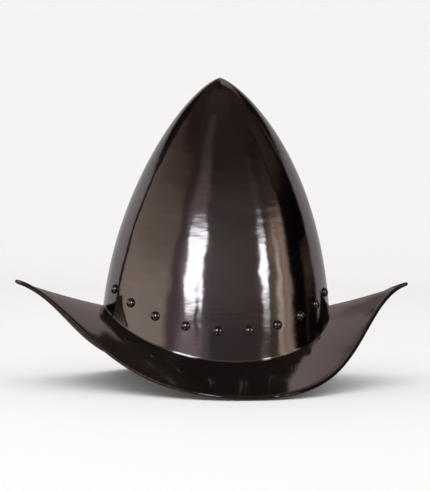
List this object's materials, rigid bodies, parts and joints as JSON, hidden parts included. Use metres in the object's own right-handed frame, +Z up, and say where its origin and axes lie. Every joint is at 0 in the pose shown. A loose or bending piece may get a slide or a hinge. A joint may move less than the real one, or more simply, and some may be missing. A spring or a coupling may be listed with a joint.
{
  "type": "morion helmet",
  "caption": "Tall pointed steel helmet skull on a boat-shaped brim with rolled edge and upswept points front and back, joined by a row of domed rivets; worn on the head.",
  "frame": {"origin": "centre of the bounding box on the plane that the helmet stands on", "axes": "+X from the front point to the back point of the brim, +Y to the wearer's left, +Z up towards the point of the skull"},
  "size_m": [0.4014, 0.3114, 0.3034],
  "materials": {
    "skull_steel": "blackened and mirror polished",
    "brim_steel": "blackened and mirror polished",
    "rivet_steel": "blackened, softly polished domes"
  },
  "bodies": {
    "root": {"skull": "skull_steel", "brim": "brim_steel", "rivet_01": "rivet_steel", "rivet_02": "rivet_steel", "rivet_03": "rivet_steel", "rivet_04": "rivet_steel", "rivet_05": "rivet_steel", "rivet_06": "rivet_steel", "rivet_07": "rivet_steel", "rivet_08": "rivet_steel", "rivet_09": "rivet_steel", "rivet_10": "rivet_steel", "rivet_11": "rivet_steel", "rivet_12": "rivet_steel", "rivet_13": "rivet_steel", "rivet_14": "rivet_steel", "rivet_15": "rivet_steel", "rivet_16": "rivet_steel", "rivet_17": "rivet_steel", "rivet_18": "rivet_steel", "rivet_19": "rivet_steel", "rivet_20": "rivet_steel"}
  },
  "joints": []
}
